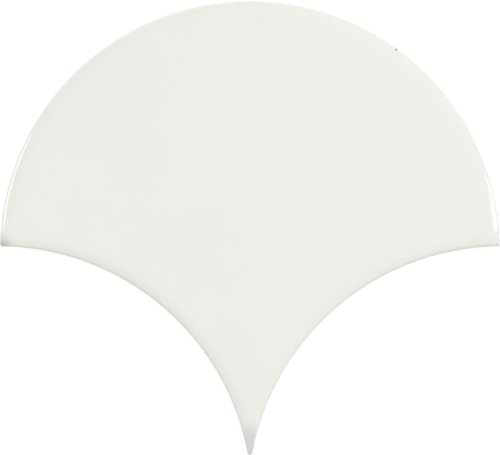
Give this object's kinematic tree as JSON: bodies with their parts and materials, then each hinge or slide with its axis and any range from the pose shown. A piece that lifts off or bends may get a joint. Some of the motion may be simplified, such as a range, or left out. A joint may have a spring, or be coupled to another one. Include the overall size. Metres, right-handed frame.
{
  "type": "fish scale tile",
  "caption": "Fish scale wall tile: round head, hollow flanks meeting in a blunt tip, cushion-edged white glazed face and a keyed back for bedding.",
  "frame": {"origin": "centre of the round head's arc, on the bedding plane of the back", "axes": "+X to the right across the head, +Y towards the head's crown, +Z out of the glazed face"},
  "size_m": [0.12, 0.1091, 0.009],
  "materials": {
    "glazed_body": "gloss"
  },
  "bodies": {
    "root": {"fish_scale_tile": "glazed_body"}
  },
  "joints": []
}
